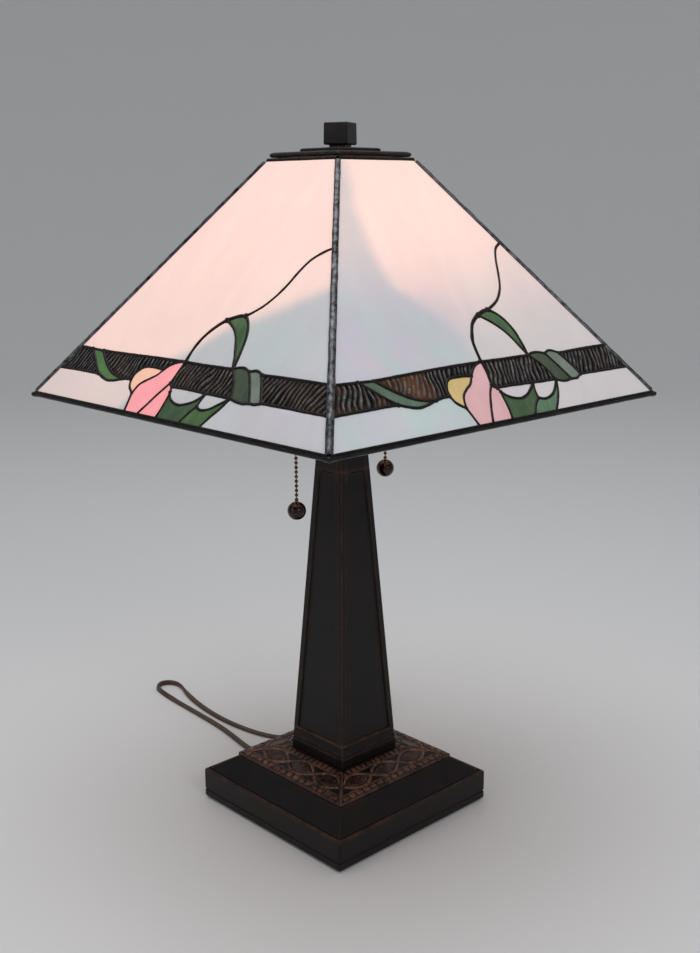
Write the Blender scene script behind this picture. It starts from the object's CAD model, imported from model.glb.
"""Looks for the leaded glass table lamp: glass, leading, castings, bulbs, chains and cord."""
import math

import bmesh
import bpy
import numpy as np
from mathutils import Matrix, Vector, geometry, noise


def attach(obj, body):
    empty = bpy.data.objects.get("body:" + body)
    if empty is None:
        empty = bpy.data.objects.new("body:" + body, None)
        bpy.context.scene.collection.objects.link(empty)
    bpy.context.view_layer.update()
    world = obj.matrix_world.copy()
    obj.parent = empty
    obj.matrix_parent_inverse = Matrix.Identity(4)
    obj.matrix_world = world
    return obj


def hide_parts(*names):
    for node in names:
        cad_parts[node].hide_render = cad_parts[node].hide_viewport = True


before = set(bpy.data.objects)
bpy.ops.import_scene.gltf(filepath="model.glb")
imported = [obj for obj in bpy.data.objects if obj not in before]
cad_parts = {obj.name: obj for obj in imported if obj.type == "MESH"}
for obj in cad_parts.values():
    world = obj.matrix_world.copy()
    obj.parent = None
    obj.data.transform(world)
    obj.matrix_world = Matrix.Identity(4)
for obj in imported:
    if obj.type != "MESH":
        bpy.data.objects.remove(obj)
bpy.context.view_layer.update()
MM = 0.001
pi, tau = math.pi, math.tau

# ------------------------------------------------------------------ camera
AZ = math.radians(-43.17)
DIST, HEIGHT = 0.9583, 0.5122
PITCH, YAW, ROLL = math.radians(13.125), 0.0036, math.radians(0.30)
turn = Matrix.Rotation(AZ, 3, "Z")
fwd = turn @ Vector((math.sin(YAW) * math.cos(PITCH), math.cos(YAW) * math.cos(PITCH), -math.sin(PITCH)))
cam_data = bpy.data.cameras.new("Camera")
cam = bpy.data.objects.new("Camera", cam_data)
bpy.context.scene.collection.objects.link(cam)
cam.location = turn @ Vector((0, -DIST, HEIGHT))
cam.rotation_euler = (fwd.to_track_quat("-Z", "Y").to_matrix() @ Matrix.Rotation(-ROLL, 3, "Z")).to_euler()
cam_data.lens, cam_data.sensor_width, cam_data.sensor_fit = 1198.37 * 36 / 953, 36, "AUTO"
cam_data.shift_x = 0.0037
cam_data.clip_start, cam_data.clip_end = 0.05, 50
bpy.context.scene.camera = cam
bpy.context.scene.view_settings.view_transform = "Standard"
bpy.context.scene.view_settings.look = "None"


# ------------------------------------------------------------------ materials
class Mat:
    """A node material with short helpers."""

    def __init__(self, name):
        self.m = bpy.data.materials.new(name)
        self.m.use_nodes = True
        self.t = self.m.node_tree
        self.p = self.t.nodes["Principled BSDF"]
        self.co = self.t.nodes.new("ShaderNodeTexCoord").outputs["Object"]

    def set(self, **kw):
        for k, v in kw.items():
            k = k.replace("_", " ").title() if not k.startswith("=") else k[1:]
            k = {"Ior": "IOR", "Specular Ior Level": "Specular IOR Level", "Coat Ior": "Coat IOR", "Thin Film Ior": "Thin Film IOR"}.get(k, k)
            self.p.inputs[k].default_value = (*v, 1) if isinstance(v, tuple) and len(v) == 3 and "Color" in k or k in ("Base Color", "Emission Color", "Coat Tint") and len(v) == 3 else v
        return self

    def link(self, a, b):
        self.t.links.new(a, self.p.inputs[b] if isinstance(b, str) else b)
        return self

    def node(self, kind, **props):
        n = self.t.nodes.new(kind)
        for k, v in props.items():
            setattr(n, k, v)
        return n

    def val(self, sock, v):
        if hasattr(v, "links") or isinstance(v, bpy.types.NodeSocket):
            self.t.links.new(v, sock)
        else:
            sock.default_value = v

    def noise(self, scale, detail=4, rough=0.55, distort=0.0, stretch=None):
        n = self.node("ShaderNodeTexNoise")
        n.inputs["Scale"].default_value, n.inputs["Detail"].default_value = scale, detail
        n.inputs["Roughness"].default_value, n.inputs["Distortion"].default_value = rough, distort
        if stretch:
            mp = self.node("ShaderNodeMapping")
            mp.inputs["Rotation"].default_value = stretch[0]
            mp.inputs["Scale"].default_value = stretch[1]
            self.t.links.new(self.co, mp.inputs["Vector"])
            self.t.links.new(mp.outputs[0], n.inputs["Vector"])
        else:
            self.t.links.new(self.co, n.inputs["Vector"])
        return n.outputs[0]

    def ramp(self, fac, stops, interp="LINEAR"):
        r = self.node("ShaderNodeValToRGB")
        r.color_ramp.interpolation = interp
        e = r.color_ramp.elements
        while len(e) < len(stops):
            e.new(0.5)
        for el, (pos, c) in zip(e, stops):
            el.position = pos
            el.color = (*c, 1) if isinstance(c, tuple) else (c, c, c, 1)
        self.val(r.inputs[0], fac)
        return r.outputs[0]

    def math(self, op, a, b=0.0, clamp=False):
        n = self.node("ShaderNodeMath", operation=op, use_clamp=clamp)
        self.val(n.inputs[0], a)
        self.val(n.inputs[1], b)
        return n.outputs[0]

    def mix(self, fac, a, b, kind="MIX"):
        n = self.node("ShaderNodeMix", data_type="RGBA", blend_type=kind)
        self.val(n.inputs[0], fac)
        for s, v in ((n.inputs[6], a), (n.inputs[7], b)):
            self.val(s, (*v, 1) if isinstance(v, tuple) and len(v) == 3 else v)
        return n.outputs[2]

    def attr(self, name):
        n = self.node("ShaderNodeAttribute", attribute_name=name)
        return n.outputs["Fac"]

    def attr_colour(self, name):
        n = self.node("ShaderNodeAttribute", attribute_name=name)
        return n.outputs["Color"]

    def bump(self, height, strength, dist=0.001):
        b = self.node("ShaderNodeBump")
        b.inputs["Strength"].default_value, b.inputs["Distance"].default_value = strength, dist
        self.t.links.new(height, b.inputs["Height"])
        self.t.links.new(b.outputs[0], self.p.inputs["Normal"])
        return self


def bronze(name, dark=(0.0040, 0.0028, 0.0027), warm=(0.0105, 0.0062, 0.0052), wear=(0.25, 0.115, 0.068), rough=(0.30, 0.46), rub=0.55):
    """Near-black bronze paint on a casting: soft mottling, fine cast grain, copper rubbed through on ridges."""
    m = Mat(name)
    n1 = m.noise(26, 5, 0.6)
    n2 = m.noise(210, 3, 0.6)
    n3 = m.noise(55, 4, 0.6)
    base = m.mix(m.ramp(n1, [(0.35, 0.0), (0.75, 1.0)]), dark, warm)
    w = m.math("MULTIPLY", m.attr("wear"), m.ramp(m.mix(0.5, n2, n3), [(0.40, 0.12), (0.62, 1.0)]), clamp=True)
    w = m.math("MULTIPLY", w, rub, clamp=True)
    m.link(m.mix(w, base, wear), "Base Color")
    m.link(m.ramp(m.mix(0.5, n1, n2), [(0.30, rough[0]), (0.70, rough[1])]), "Roughness")
    m.link(m.math("MULTIPLY", w, 0.8), "Metallic")
    m.p.inputs["Specular IOR Level"].default_value = 0.20
    m.p.inputs["Coat Weight"].default_value = 0.07
    m.p.inputs["Coat Roughness"].default_value = 0.25
    m.bump(m.mix(0.6, m.noise(620, 3, 0.6), m.noise(140, 2, 0.5)), 0.10, 0.0004)
    return m.m


def metal(name, dark, light, rough=(0.25, 0.45), scale=70, metallic=0.95, bump=0.12, grain=400, coat=0.0):
    m = Mat(name)
    n = m.noise(scale, 5, 0.6, 0.4)
    m.link(m.ramp(n, [(0.32, dark), (0.68, light)]), "Base Color")
    m.link(m.ramp(m.noise(scale * 1.7, 3), [(0.3, rough[0]), (0.7, rough[1])]), "Roughness")
    m.set(metallic=metallic)
    m.p.inputs["Coat Weight"].default_value = coat
    m.bump(m.noise(grain, 3, 0.6), bump, 0.0003)
    return m.m


def opal(name, tints, light=(1.0, 0.45, 0.26), glow=0.50, scale=9.0, rough=0.11, pearl=0.5, wisps=0.30):
    """Opalescent glass: wispy streaks of its tints, a faint pearl, and light let through from the bulbs.

    The mesh carries two measures worked out from the bulbs' places: glow (how much light comes through)
    and pearl (where the pearly coating shows most)."""
    m = Mat(name)
    wisp = m.noise(scale, 6, 0.60, 1.4, ((0.0, 0.0, 0.7), (1.0, 0.34, 1.0)))
    fine = m.noise(scale * 5.5, 4, 0.6, 0.8, ((0.0, 0.0, 0.5), (1.0, 0.45, 1.0)))
    cloud = m.mix(0.26, wisp, fine)
    base = m.ramp(cloud, [(0.50 - wisps * 0.62, tints[0]), (0.52, tints[1]), (0.54 + wisps * 0.62, tints[2])])
    tone = m.noise(10.0, 3, 0.5, 0.9, ((0.2, 0.1, 0.4), (1.0, 0.8, 1.0)))
    hue = m.ramp(tone, [(0.30, (0.80, 1.0, 0.96)), (0.43, (0.90, 0.93, 1.0)), (0.53, (0.96, 0.88, 1.0)), (0.62, (1.0, 0.92, 0.96)), (0.74, (0.88, 1.0, 0.98))])
    base = m.mix(m.math("MULTIPLY", m.attr("pearl"), pearl, clamp=True), base, m.mix(1.0, base, hue, "MULTIPLY"))
    m.link(base, "Base Color")
    tint = m.ramp(m.noise(6.0, 2, 0.5), [(0.35, (1.0, 0.96, 0.94)), (0.65, (1.0, 1.04, 1.08))])
    m.link(m.mix(1.0, light, tint, "MULTIPLY"), "Emission Color")
    g = m.math("MULTIPLY", m.attr("glow"), m.ramp(cloud, [(0.25, 0.90), (0.75, 1.06)]))
    m.link(m.math("MULTIPLY", g, glow), "Emission Strength")
    m.link(m.ramp(fine, [(0.2, rough * 0.7), (0.8, rough * 1.8)]), "Roughness")
    m.p.inputs["Specular IOR Level"].default_value = 0.45
    m.p.inputs["Coat Weight"].default_value = 0.30
    m.p.inputs["Coat Roughness"].default_value = 0.06
    m.bump(m.mix(0.35, m.noise(38, 3, 0.5), m.noise(150, 2, 0.5)), 0.09, 0.0010)
    return m.m


def ribbed(name, dark=(0.0022, 0.0018, 0.0020), amber=(0.125, 0.048, 0.013), crest=(0.165, 0.148, 0.146)):
    """Dark ribbed band glass: black furrows, greyer glossy crests, amber where the sheet runs thin."""
    m = Mat(name)
    n = m.noise(13, 5, 0.6, 1.0)
    f = m.noise(150, 3, 0.6, 0.4)
    thin = m.math("MULTIPLY", m.attr("amber"), m.ramp(n, [(0.44, 0.0), (0.64, 1.0)]), clamp=True)
    base = m.mix(thin, dark, amber)
    ridge = m.math("MULTIPLY", m.attr("rib"), m.ramp(f, [(0.36, 0.25), (0.62, 1.0)]), clamp=True)
    base = m.mix(ridge, base, crest)
    m.link(base, "Base Color")
    m.link(m.mix(1.0, base, (1.0, 0.62, 0.40), "MULTIPLY"), "Emission Color")
    m.link(m.math("MULTIPLY", thin, 0.35), "Emission Strength")
    m.link(m.ramp(m.attr("rib"), [(0.0, 0.42), (0.7, 0.14)]), "Roughness")
    m.link(m.ramp(m.attr("rib"), [(0.0, 0.10), (0.7, 0.60)]), "Specular IOR Level")
    m.link(m.ramp(m.attr("rib"), [(0.2, 0.0), (0.8, 0.5)]), "Coat Weight")
    m.p.inputs["Coat Roughness"].default_value = 0.05
    m.bump(m.mix(0.4, m.noise(330, 3, 0.6), m.noise(90, 2, 0.5)), 0.25, 0.0006)
    return m.m


BRONZE = bronze("bronze_paint")
RELIEF = bronze("bronze_relief", dark=(0.0055, 0.0038, 0.0035), warm=(0.016, 0.0095, 0.0080), wear=(0.46, 0.225, 0.145), rough=(0.22, 0.34), rub=0.72)
BLACKCAP = bronze("bronze_cap", dark=(0.0040, 0.0035, 0.0036), warm=(0.0075, 0.0060, 0.0056), wear=(0.10, 0.07, 0.055), rough=(0.30, 0.44), rub=0.5)
BRASS = metal("aged_brass", (0.17, 0.115, 0.050), (0.46, 0.33, 0.16), (0.25, 0.5), 90)
ZINC = metal("zinc_plate", (0.34, 0.34, 0.35), (0.60, 0.60, 0.60), (0.25, 0.4), 120)
LEADM = metal("lead_patina", (0.008, 0.006, 0.0055), (0.034, 0.026, 0.023), (0.22, 0.38), 130, 0.7, 0.30, 260)
RIMM = metal("rim_patina", (0.010, 0.009, 0.009), (0.032, 0.028, 0.028), (0.28, 0.42), 90, 0.7, 0.18, 240)
SOLDER = metal("hip_solder", (0.010, 0.009, 0.009), (0.20, 0.20, 0.215), (0.22, 0.44), 190, 0.8, 0.6, 190)
COPPERB = metal("copper_bronze", (0.016, 0.0075, 0.0055), (0.050, 0.024, 0.015), (0.07, 0.16), 60, 0.9, 0.02, 300, 0.5)

WHITE_T = ((0.735, 0.730, 0.735), (0.795, 0.788, 0.790), (0.850, 0.838, 0.834))
GLASS = {
    "white": opal("opal_white", WHITE_T, (1.0, 0.40, 0.215), 0.50, pearl=0.75),
    "leaf": opal("glass_leaf", ((0.024, 0.080, 0.020), (0.065, 0.155, 0.045), (0.150, 0.270, 0.095)), (0.30, 0.62, 0.16), 0.10, 30, 0.10, 0.1, 0.4),
    "leaf2": opal("glass_leaf_grey", ((0.018, 0.048, 0.018), (0.050, 0.105, 0.042), (0.120, 0.190, 0.090)), (0.4, 0.6, 0.3), 0.08, 30, 0.10, 0.1, 0.4),
    "moss": opal("glass_moss", ((0.022, 0.065, 0.022), (0.055, 0.125, 0.045), (0.130, 0.220, 0.100)), (0.4, 0.6, 0.2), 0.08, 34, 0.10, 0.1, 0.4),
    "olive": opal("glass_olive", ((0.022, 0.038, 0.020), (0.050, 0.078, 0.042), (0.110, 0.140, 0.085)), (0.5, 0.5, 0.2), 0.05, 30, 0.10, 0.1, 0.4),
    "sage": opal("glass_sage", ((0.130, 0.165, 0.130), (0.215, 0.260, 0.210), (0.360, 0.400, 0.345)), (0.5, 0.6, 0.4), 0.06, 26, 0.10, 0.2, 0.4),
    "greyleaf": opal("glass_leaf_pale", ((0.055, 0.100, 0.060), (0.120, 0.185, 0.120), (0.250, 0.320, 0.230)), (0.5, 0.6, 0.4), 0.06, 30, 0.10, 0.2, 0.4),
    "mint": opal("glass_mint", ((0.040, 0.110, 0.045), (0.100, 0.210, 0.110), (0.260, 0.380, 0.250)), (0.4, 0.6, 0.4), 0.06, 26, 0.10, 0.2, 0.4),
    "pink": opal("glass_pink", ((0.74, 0.24, 0.27), (0.84, 0.40, 0.42), (0.88, 0.62, 0.60)), (1.0, 0.27, 0.28), 0.50, 20, 0.10, 0.2, 0.5),
    "pale": opal("glass_pale_pink", ((0.80, 0.42, 0.40), (0.84, 0.54, 0.50), (0.88, 0.70, 0.62)), (1.0, 0.34, 0.22), 0.40, 20, 0.10, 0.2, 0.4),
    "peach": opal("glass_peach", ((0.84, 0.52, 0.38), (0.88, 0.62, 0.50), (0.90, 0.72, 0.60)), (1.0, 0.42, 0.22), 0.42, 20, 0.10, 0.2, 0.4),
    "rose": opal("glass_rose", ((0.60, 0.32, 0.33), (0.72, 0.44, 0.44), (0.80, 0.60, 0.57)), (1.0, 0.55, 0.60), 0.42, 20, 0.10, 0.3, 0.5),
    "yellow": opal("glass_yellow", ((0.56, 0.42, 0.12), (0.68, 0.54, 0.24), (0.76, 0.66, 0.44)), (1.0, 0.55, 0.20), 0.30, 22, 0.10, 0.2, 0.4),
}
BAND = ribbed("band_glass")


# ------------------------------------------------------------------ mesh helpers (millimetres in, metres out)
def make(name, verts, faces, mat, body=None, matrix=None, smooth=True, attrs=None, node=(), sharp=None, parent=None):
    me = bpy.data.meshes.new(name)
    me.from_pydata([(x * MM, y * MM, z * MM) for x, y, z in verts], [], faces)
    for key, vals in (attrs or {}).items():
        a = me.attributes.new(key, "FLOAT", "POINT")
        a.data.foreach_set("value", np.asarray(vals, dtype=np.float32))
    me.validate()
    me.update()
    if smooth:
        me.shade_smooth()
        if sharp is not None:
            me.set_sharp_from_angle(angle=math.radians(sharp))
    ob = bpy.data.objects.new(name, me)
    bpy.context.scene.collection.objects.link(ob)
    me.materials.append(mat)
    if matrix is not None:
        ob.matrix_world = matrix
    if body:
        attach(ob, body)
    if node:
        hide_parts(*([node] if isinstance(node, str) else node))
    return ob


def grid_faces(rows, cols, wrap=True, flip=False):
    out = []
    for i in range(rows - 1):
        for j in range(cols if wrap else cols - 1):
            k = (j + 1) % cols
            q = (i * cols + j, i * cols + k, (i + 1) * cols + k, (i + 1) * cols + j)
            out.append(q[::-1] if flip else q)
    return out


def smooth_path(points, n, closed=False):
    """Catmull-Rom through the points."""
    P = [np.asarray(p, float) for p in points]
    N = len(P)
    out = []
    for i in range(N if closed else N - 1):
        p0 = P[(i - 1) % N] if closed else P[max(i - 1, 0)]
        p1, p2 = P[i], P[(i + 1) % N]
        p3 = P[(i + 2) % N] if closed else P[min(i + 2, N - 1)]
        for k in range(n):
            t = k / n
            out.append(0.5 * (2 * p1 + (p2 - p0) * t + (2 * p0 - 5 * p1 + 4 * p2 - p3) * t * t + (3 * p1 - p0 - 3 * p2 + p3) * t ** 3))
    if not closed:
        out.append(P[-1])
    return out


def fillet(profile, r, n=3, closed=False):
    """Profile with its corners rounded to about r."""
    P = [np.asarray(p, float) for p in profile]
    out = []
    N = len(P)
    for i in range(N):
        if not closed and i in (0, N - 1):
            out.append(P[i])
            continue
        a, b, c = P[i - 1], P[i], P[(i + 1) % N]
        la, lc = np.linalg.norm(a - b), np.linalg.norm(c - b)
        if la < 1e-6 or lc < 1e-6:
            out.append(b)
            continue
        t = min(r, la * 0.45, lc * 0.45)
        p, q = b + (a - b) / la * t, b + (c - b) / lc * t
        for k in range(n + 1):
            u = k / n
            out.append((1 - u) ** 2 * p + 2 * u * (1 - u) * b + u * u * q)
    return out


def square_loft(name, profile, mat, body, corner=1.0, n=4, turn_z=0.0, node=(), wear=None, closed=True, along=0):
    """Square-section turned form with rounded arrises: profile of (half width, z), outer side top to bottom."""
    verts, w = [], []
    per_side = along
    for i, (h, z) in enumerate(profile):
        r = min(corner, h * 0.45)
        for c in range(4):
            a0 = c * pi / 2
            cx, cy = ((h - r), (h - r)) if c == 0 else ((-(h - r), (h - r)) if c == 1 else ((-(h - r), -(h - r)) if c == 2 else ((h - r), -(h - r))))
            for k in range(n + 1):
                a = a0 + pi / 2 * k / n
                verts.append((cx + r * math.cos(a), cy + r * math.sin(a), z))
                w.append(wear[i] if wear is not None else 0.0)
            if per_side:
                nx, ny = ((-(h - r), h), (-h, -(h - r)), ((h - r), -h), (h, (h - r)))[c]
                x0, y0 = verts[-1][0], verts[-1][1]
                for k in range(1, per_side + 1):
                    u = k / (per_side + 1)
                    verts.append((x0 + (nx - x0) * u, y0 + (ny - y0) * u, z))
                    w.append(wear[i] if wear is not None else 0.0)
    cols = 4 * (n + 1 + per_side)
    rows = len(profile)
    faces = grid_faces(rows, cols, True, flip=True)
    if closed == "ring":
        faces += [(((rows - 1) * cols + j), ((rows - 1) * cols + (j + 1) % cols), (j + 1) % cols, j)[::-1] for j in range(cols)]
    elif closed:
        verts += [(0, 0, profile[0][1]), (0, 0, profile[-1][1])]
        w += [0.0, 0.0]
        t, b = len(verts) - 2, len(verts) - 1
        faces += [(t, j, (j + 1) % cols) for j in range(cols)]
        faces += [(b, (rows - 1) * cols + (j + 1) % cols, (rows - 1) * cols + j) for j in range(cols)]
    ob = make(name, verts, faces, mat, body, Matrix.Rotation(turn_z, 4, "Z"), attrs={"wear": w}, node=node, sharp=50)
    wn = ob.modifiers.new("WeightedNormal", "WEIGHTED_NORMAL")
    wn.keep_sharp = True
    return ob


def lathe(name, profile, mat, body, steps=48, matrix=None, node=(), attrs=None, sharp=40):
    """Turned piece: profile of (radius, z) down the outer side; ends on the axis close it."""
    verts, faces = [], []
    rings = []
    for r, z in profile:
        if r < 1e-6:
            rings.append([len(verts)])
            verts.append((0, 0, z))
        else:
            rings.append(list(range(len(verts), len(verts) + steps)))
            verts += [(r * math.cos(tau * k / steps), r * math.sin(tau * k / steps), z) for k in range(steps)]
    for a, b in zip(rings, rings[1:]):
        for k in range(steps):
            j = (k + 1) % steps
            if len(a) == 1 and len(b) == 1:
                continue
            if len(a) == 1:
                faces.append((a[0], b[k], b[j]))
            elif len(b) == 1:
                faces.append((a[k], b[0], a[j]))
            else:
                faces.append((a[k], b[k], b[j], a[j]))
    if len(rings[0]) > 1:  # a ring: close the profile on itself
        a, b = rings[-1], rings[0]
        for k in range(steps):
            j = (k + 1) % steps
            faces.append((a[k], b[k], b[j], a[j]))
    return make(name, verts, faces, mat, body, matrix, node=node, sharp=sharp)


# ------------------------------------------------------------------ cord
CORD_W, CORD_T = 5.5, 2.8
COIL = (130.0, 139.0)
ROUTE = [(0.0, 108.4, 5.3), (-0.3, 114.0, 4.4), (-0.8, 121.0, 2.8), (-1.2, 129.0, 1.8), (0.0, 140.0, 1.5), (3.5, 158.0, 1.5),
         (7.5, 180.0, 1.5), (10.0, 205.0, 1.5), (11.5, 231.0, 1.5), (13.0, 258.0, 1.5), (14.5, 284.0, 1.5),
         (16.3, 302.0, 2.3), (19.6, 312.4, 2.8), (28.3, 317.0, 2.9), (37.0, 312.6, 2.8), (40.3, 303.0, 2.4), (38.2, 290.0, 1.8),
         (32.0, 273.0, 1.5), (26.5, 250.0, 1.5), (22.5, 224.0, 1.5), (21.0, 198.0, 1.5), (22.5, 172.0, 1.5),
         (26.5, 148.0, 1.5), (35.0, 128.0, 1.5), (50.0, 115.5, 1.5), (68.0, 110.5, 1.5), (87.0, 109.2, 1.5), (104.0, 109.0, 1.5)]
sight = math.atan2(0.729, 0.684)
head = np.array((math.cos(sight), math.sin(sight)))
out_side = np.array((math.sin(sight), -math.cos(sight)))
plug_spot = np.array((*(np.array(COIL) + out_side * 27.0), 11.6 + 6.3))
turns = [(32.4, 1.5), (26.3, 1.5), (26.3, 4.4), (32.4, 4.4), (32.4, 7.3), (26.3, 7.3), (26.6, 10.2), (29.5, 10.8)]
line = smooth_path(ROUTE, 3)
start_a, sweep = math.radians(-98), tau * 7 - math.radians(17)
steps = 7 * 20
coil_pts = []
for i in range(steps + 1):
    a = sweep * i / steps
    n, u = int(a / tau), (a % tau) / tau
    n = min(n, 6)
    e = max(0.0, (u - 0.80) / 0.20)
    e = e * e * (3 - 2 * e)
    r = turns[n][0] + (turns[n + 1][0] - turns[n][0]) * e
    z = turns[n][1] + (turns[n + 1][1] - turns[n][1]) * e
    t = start_a + a
    if a < 0.6:  # come in from the straight run
        r += 1.4 * (1 - a / 0.6) ** 2
    coil_pts.append(np.array((COIL[0] + r * math.cos(t), COIL[1] + r * math.sin(t), z)))
end_dir = np.array((*head, 0.0))
plug_back = plug_spot - end_dir * 12.3
last = coil_pts[-1]
tail = [last * 0.45 + (plug_back - end_dir * 11) * 0.55, plug_back - end_dir * 6.5 - np.array((0, 0, 0.4)), plug_back]
line = line + coil_pts + tail
line = [np.asarray(p, float) for p in line]
# even it out a little at the joins
for _ in range(3):
    line = [line[0]] + [0.25 * a + 0.5 * b + 0.25 * c for a, b, c in zip(line, line[1:], line[2:])] + [line[-1]]


def flat_cord(name, path, w, t, mat, lift=None):
    """Twin flat lead swept along the path, lying flat, with its groove down the middle."""
    sec = []
    k = 11
    rc = t / 2
    off = w / 2 - rc
    for i in range(k):  # right lobe, then left lobe
        a = math.radians(-108 + 216 * i / (k - 1))
        sec.append((off + rc * math.cos(a), rc * math.sin(a)))
    for i in range(k):
        a = math.radians(72 + 216 * i / (k - 1))
        sec.append((-off + rc * math.cos(a), rc * math.sin(a)))
    verts = []
    N = len(path)
    for i, p in enumerate(path):
        tg = path[min(i + 1, N - 1)] - path[max(i - 1, 0)]
        tg = tg / np.linalg.norm(tg)
        side = np.cross(tg, (0, 0, 1.0))
        side /= np.linalg.norm(side)
        up = np.cross(side, tg)
        roll = lift(i / (N - 1), p) if lift else 0.0
        s2 = side * math.cos(roll) + up * math.sin(roll)
        u2 = -side * math.sin(roll) + up * math.cos(roll)
        for x, y in sec:
            verts.append(tuple(p + s2 * x + u2 * y))
    cols = len(sec)
    faces = grid_faces(N, cols, True)
    faces.append(tuple(range(cols))[::-1])
    faces.append(tuple((N - 1) * cols + j for j in range(cols)))
    return make(name, verts, faces, mat, "lamp", sharp=70)


def cord_material(name, dark, light):
    m = Mat(name)
    m.link(m.ramp(m.noise(120, 3), [(0.3, dark), (0.7, light)]), "Base Color")
    m.link(m.ramp(m.noise(260, 3), [(0.3, 0.34), (0.7, 0.5)]), "Roughness")
    m.bump(m.noise(700, 3), 0.06, 0.0002)
    return m.m


CORDM = cord_material("cord_vinyl", (0.050, 0.026, 0.016), (0.095, 0.052, 0.034))


def cord_roll(u, p):
    y = p[1]
    if y > 262 and p[0] < 60:  # the turn at the far end stands on its edge, the way a flat lead turns
        e = min(1.0, (y - 262) / 42)
        return 1.35 * e * e * (3 - 2 * e)
    return 0.0


cord = flat_cord("cord", line, CORD_W, CORD_T, CORDM, cord_roll)
# keep the tilted turn off the table
co = np.empty(len(cord.data.vertices) * 3)
cord.data.vertices.foreach_get("co", co)
co = co.reshape(-1, 3)
low = co[:, 2] < 0.00005
co[low, 2] = 0.00005
cord.data.vertices.foreach_set("co", co.ravel())
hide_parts("cord_run", "cord_coil")

# strain relief: tapered, ribbed boot
prof = [(0, 24.0), (2.0, 24.0), (2.3, 23.4)]
for i in range(7):
    z = 22.2 - i * 2.6
    r = 2.5 + 0.07 * i
    prof += [(r, z), (r, z - 1.3), (r - 0.45, z - 1.5), (r - 0.45, z - 2.4)]
prof += [(3.0, 3.6), (3.0, 0.0), (0, 0.0)]
relief = lathe("strain_relief_boot", prof, CORDM, "lamp", 24,
               Matrix.Translation((0, 84.0 * MM, 5.3 * MM)) @ Matrix.Rotation(math.radians(-90), 4, "X"), "strain_relief")
# plug: moulded body and two blades
plug_at = Matrix.Translation(Vector(plug_spot) * MM) @ Matrix.Rotation(sight - pi / 2, 4, "Z")
rings = [(-12.0, 3.1, 2.6), (-10.5, 3.6, 3.0), (-8.0, 4.4, 3.6), (-6.0, 6.4, 4.6), (-3.5, 8.4, 5.3), (0.0, 9.3, 5.7), (4.0, 9.4, 5.8),
         (9.0, 9.4, 5.8), (11.3, 9.2, 5.6), (12.0, 8.5, 5.0)]
pv, K = [], 28
for y, w, h in rings:
    for k in range(K):
        a = tau * k / K
        cx, cz = math.cos(a), math.sin(a)
        e = 0.62
        pv.append((w * math.copysign(abs(cx) ** e, cx), y, h * math.copysign(abs(cz) ** e, cz)))
pf = grid_faces(len(rings), K, True) + [tuple(range(K))[::-1], tuple((len(rings) - 1) * K + j for j in range(K))]
pf = [f[::-1] for f in pf]
plug = make("plug_body", pv, pf, CORDM, "lamp", plug_at, node="cord_plug", sharp=50)
bv, bf = [], []
for x in (-6.35, 6.35):
    b0 = len(bv)
    for y, hh in ((11.6, 3.2), (26.6, 3.2), (28.0, 2.2)):
        for dx, dz in ((-0.75, -hh), (0.75, -hh), (0.75, hh), (-0.75, hh)):
            bv.append((x + dx, y, dz))
    for i in range(2):
        for j in range(4):
            k = (j + 1) % 4
            bf.append((b0 + i * 4 + j, b0 + i * 4 + k, b0 + (i + 1) * 4 + k, b0 + (i + 1) * 4 + j)[::-1])
    bf += [(b0, b0 + 1, b0 + 2, b0 + 3), (b0 + 11, b0 + 10, b0 + 9, b0 + 8)]
blades = make("plug_blades", bv, bf, BRASS, "lamp", plug_at, smooth=False)
# tie drawn tight round the coil
ta = math.radians(150)
tv = []
sec = [(23.6, 0.03), (35.0, 0.03), (35.9, 0.9), (36.0, 7.9), (35.0, 9.3), (30.0, 11.6), (28.9, 12.2), (24.4, 12.2), (23.2, 11.3), (23.0, 0.9)]
mid_r, mid_z, T = 29.5, 5.5, len(sec)
for d in (-1.5, 1.5):
    for inner in (0.0, 0.09):
        for r, z in sec:
            rr, zz = r + (mid_r - r) * inner, z + (mid_z - z) * inner
            tv.append((COIL[0] + rr * math.cos(ta) - d * math.sin(ta), COIL[1] + rr * math.sin(ta) + d * math.cos(ta), zz))
tf = []
for j in range(T):
    k = (j + 1) % T
    tf += [(j, k, 2 * T + k, 2 * T + j), (T + j, 3 * T + j, 3 * T + k, T + k), (j, T + j, T + k, k), (2 * T + j, 2 * T + k, 3 * T + k, 3 * T + j)]
tie = make("cord_tie", tv, tf, CORDM, "lamp", sharp=40)


# ------------------------------------------------------------------ shade
HALF_TOP, Z_TOP = 39.6, 541.8
SLANT = math.hypot(177.8 - 39.6, 541.8 - 358.2)
WIDEN = (177.8 - 39.6) / SLANT
SLOPE = math.acos(WIDEN)
D0, D1 = 1.2, 227.4
HIP = 2.8  # glass stops this far short of the hip line, along the panel


def half_at(d):
    return HALF_TOP + WIDEN * d


def panel_matrix(k):
    return (Matrix.Rotation(pi / 2 * k, 4, "Z") @ Matrix.Translation((0, -HALF_TOP * MM, Z_TOP * MM)) @ Matrix.Rotation(SLOPE, 4, "X"))


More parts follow.
